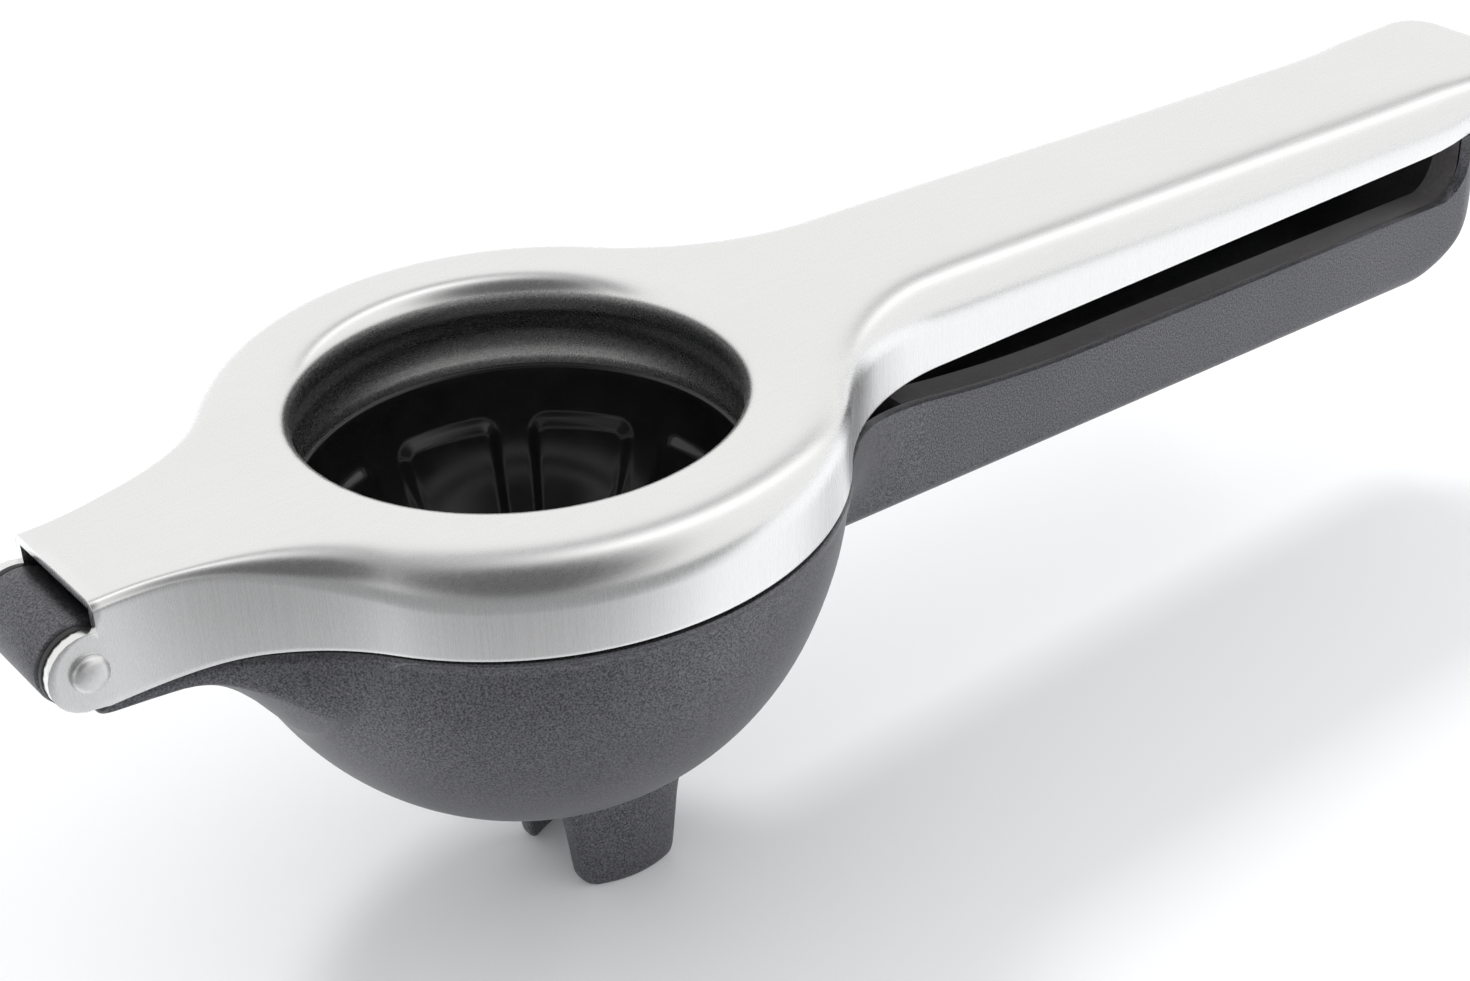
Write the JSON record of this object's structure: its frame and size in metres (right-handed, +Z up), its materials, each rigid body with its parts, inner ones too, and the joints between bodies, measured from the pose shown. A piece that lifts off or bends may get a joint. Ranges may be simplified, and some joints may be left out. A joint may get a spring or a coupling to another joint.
{
  "type": "lemon squeezer",
  "caption": "Hand-held lemon squeezer: pressed steel upper arm with a black press cup, hinged to a dark cast lower arm with a bowl and a channel handle, shown closed.",
  "frame": {"origin": "centre of the bounding box, at the height of the flat ends of the two lugs it stands on", "axes": "+X from the hinge towards the handle ends, +Z up through the open top of the press cup, +Y across the handles"},
  "size_m": [0.2459, 0.078, 0.0724],
  "materials": {
    "steel": "satin brushed, vertical grain on the skirt",
    "cup": "gloss black",
    "pin": "satin turned steel",
    "washer": "matte black",
    "casting": "dark grey speckled coating, fine grain, half matte",
    "liner": "matte dark grey"
  },
  "bodies": {
    "lower": {"lower_arm": "casting", "handle_liner": "liner"},
    "upper": {"upper_shell": "steel", "press_cup": "cup", "hinge_pin": "pin", "washer_near": "washer", "washer_far": "washer"}
  },
  "joints": [
    {"name": "hinge", "type": "hinge", "parent": "lower", "child": "upper", "pos_m": [-0.11797, 0, 0.0631], "axis": [0, -1, 0], "range_deg": [0, 110]}
  ]
}
